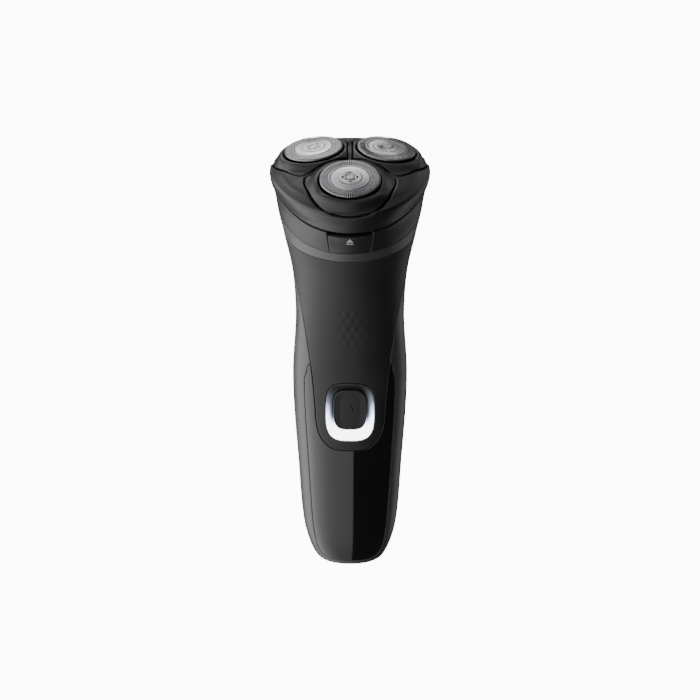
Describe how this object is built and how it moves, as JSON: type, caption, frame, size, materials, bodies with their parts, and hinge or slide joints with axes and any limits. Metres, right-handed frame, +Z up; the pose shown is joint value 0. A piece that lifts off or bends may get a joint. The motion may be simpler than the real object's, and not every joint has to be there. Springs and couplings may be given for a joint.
{
  "type": "electric shaver",
  "caption": "Cordless rotary electric shaver: waisted upright handle with a lit power button, and a forward-leaning, hinged shaving unit with floating round steel cutting heads.",
  "frame": {"origin": "centre of the flat foot, on the plane it stands on", "axes": "+Z up the handle, +Y to the back, the power button faces -Y, +X to the right seen from the front"},
  "size_m": [0.0584, 0.0588, 0.1658],
  "materials": {
    "housing_grey": "satin, fine moulded grain",
    "shield_matte": "soft-touch matte",
    "panel_gloss": "polished",
    "head_satin": "satin",
    "light_guide": "translucent, lit from behind",
    "mark_grey": "printed",
    "guard_steel": "turned and polished",
    "cutter_steel": "ground",
    "plain_steel": "plated",
    "inner_dark": "as moulded",
    "acetal_white": "as moulded",
    "seal_rubber": "matte",
    "cell_wrap": "shrink wrap",
    "board_green": "solder mask"
  },
  "bodies": {
    "handle": {"rear_housing": "housing_grey", "front_shield": "shield_matte", "front_panel": "panel_gloss", "light_ring": "light_guide", "accent_strip": "housing_grey", "collar": "head_satin", "hinge_pin": "plain_steel", "chassis": "inner_dark", "battery": "cell_wrap", "battery_tab_lower": "plain_steel", "battery_tab_upper": "plain_steel", "circuit_board": "board_green", "power_switch": "inner_dark", "status_led": "light_guide", "charging_socket": "inner_dark", "socket_pin_left": "plain_steel", "socket_pin_right": "plain_steel", "gear_plate": "acetal_white", "plate_screw_left": "plain_steel", "plate_screw_right": "plain_steel", "motor": "plain_steel", "chamber_floor": "inner_dark", "axle_front": "plain_steel", "axle_left": "plain_steel", "axle_right": "plain_steel", "spindle_seal_front": "seal_rubber", "spindle_seal_left": "seal_rubber", "spindle_seal_right": "seal_rubber"},
    "power_button": {"power_button": "shield_matte"},
    "release_button": {"release_button": "head_satin", "release_mark": "mark_grey"},
    "motor_shaft": {"motor_pinion": "acetal_white"},
    "shaving_unit": {"head_frame": "head_satin"},
    "drive_front": {"drive_gear_front": "acetal_white"},
    "petal_front": {"petal_front": "head_satin", "retaining_ring_front": "acetal_white"},
    "shaving_head_front": {"shaving_head_front": "guard_steel"},
    "cutter_front": {"cutter_front": "cutter_steel"},
    "drive_left": {"drive_gear_left": "acetal_white"},
    "petal_left": {"petal_left": "head_satin", "retaining_ring_left": "acetal_white"},
    "shaving_head_left": {"shaving_head_left": "guard_steel"},
    "cutter_left": {"cutter_left": "cutter_steel"},
    "drive_right": {"drive_gear_right": "acetal_white"},
    "petal_right": {"petal_right": "head_satin", "retaining_ring_right": "acetal_white"},
    "shaving_head_right": {"shaving_head_right": "guard_steel"},
    "cutter_right": {"cutter_right": "cutter_steel"}
  },
  "joints": [
    {"name": "power_button_press", "type": "slide", "parent": "handle", "child": "power_button", "axis": [0, 1, 0], "range_m": [0, 0.0006], "stiffness_N_per_m": 900},
    {"name": "release_button_press", "type": "hinge", "parent": "handle", "child": "release_button", "pos_m": [0, -0.02611, 0.13048], "axis": [-1, 0, 0], "range_deg": [0, 5], "stiffness_Nm_per_rad": 0.5},
    {"name": "motor_spin", "type": "hinge", "parent": "handle", "child": "motor_shaft", "pos_m": [0, -0.00219, 0.14082], "axis": [0, -0.2924, 0.9563], "continuous": true},
    {"name": "head_flip", "type": "hinge", "parent": "handle", "child": "shaving_unit", "pos_m": [0, 0.02145, 0.156], "axis": [-1, 0, 0], "range_deg": [0, 100]},
    {"name": "drive_spin_front", "type": "hinge", "parent": "handle", "child": "drive_front", "pos_m": [0, -0.01621, 0.13654], "axis": [0, -0.2924, 0.9563], "continuous": true},
    {"name": "petal_flex_front", "type": "hinge", "parent": "shaving_unit", "child": "petal_front", "pos_m": [0, -0.021, 0.15002], "axis": [1, 0, 0], "range_deg": [-2, 2], "stiffness_Nm_per_rad": 0.4},
    {"name": "shaving_head_float_front", "type": "slide", "parent": "petal_front", "child": "shaving_head_front", "axis": [0, 0.4147, -0.91], "range_m": [0, 0.0012], "stiffness_N_per_m": 500},
    {"name": "cutter_spin_front", "type": "hinge", "parent": "shaving_head_front", "child": "cutter_front", "pos_m": [0, -0.02302, 0.15662], "axis": [0, -0.4147, 0.91], "continuous": true},
    {"name": "drive_spin_left", "type": "hinge", "parent": "handle", "child": "drive_left", "pos_m": [-0.01269, 0.00481, 0.14297], "axis": [0, -0.2924, 0.9563], "continuous": true},
    {"name": "petal_flex_left", "type": "hinge", "parent": "shaving_unit", "child": "petal_left", "pos_m": [-0.01325, 0.00094, 0.15673], "axis": [-0.5, -0.8282, -0.2532], "range_deg": [-2, 2], "stiffness_Nm_per_rad": 0.4},
    {"name": "shaving_head_float_left", "type": "slide", "parent": "petal_left", "child": "shaving_head_left", "axis": [0.113, 0.2275, -0.9672], "range_m": [0, 0.0012], "stiffness_N_per_m": 500},
    {"name": "cutter_spin_left", "type": "hinge", "parent": "shaving_head_left", "child": "cutter_left", "pos_m": [-0.01325, -0.00108, 0.16333], "axis": [-0.113, -0.2275, 0.9672], "continuous": true},
    {"name": "drive_spin_right", "type": "hinge", "parent": "handle", "child": "drive_right", "pos_m": [0.01269, 0.00481, 0.14297], "axis": [0, -0.2924, 0.9563], "continuous": true},
    {"name": "petal_flex_right", "type": "hinge", "parent": "shaving_unit", "child": "petal_right", "pos_m": [0.01325, 0.00094, 0.15673], "axis": [-0.5, 0.8282, 0.2532], "range_deg": [-2, 2], "stiffness_Nm_per_rad": 0.4},
    {"name": "shaving_head_float_right", "type": "slide", "parent": "petal_right", "child": "shaving_head_right", "axis": [-0.113, 0.2275, -0.9672], "range_m": [0, 0.0012], "stiffness_N_per_m": 500},
    {"name": "cutter_spin_right", "type": "hinge", "parent": "shaving_head_right", "child": "cutter_right", "pos_m": [0.01325, -0.00108, 0.16333], "axis": [0.113, -0.2275, 0.9672], "continuous": true}
  ],
  "couplings": [
    {"joint": "drive_spin_front", "follows": "motor_spin", "ratio": -0.55556},
    {"joint": "cutter_spin_front", "follows": "motor_spin", "ratio": -0.55556},
    {"joint": "drive_spin_left", "follows": "motor_spin", "ratio": -0.55556},
    {"joint": "cutter_spin_left", "follows": "motor_spin", "ratio": -0.55556},
    {"joint": "drive_spin_right", "follows": "motor_spin", "ratio": -0.55556},
    {"joint": "cutter_spin_right", "follows": "motor_spin", "ratio": -0.55556}
  ]
}
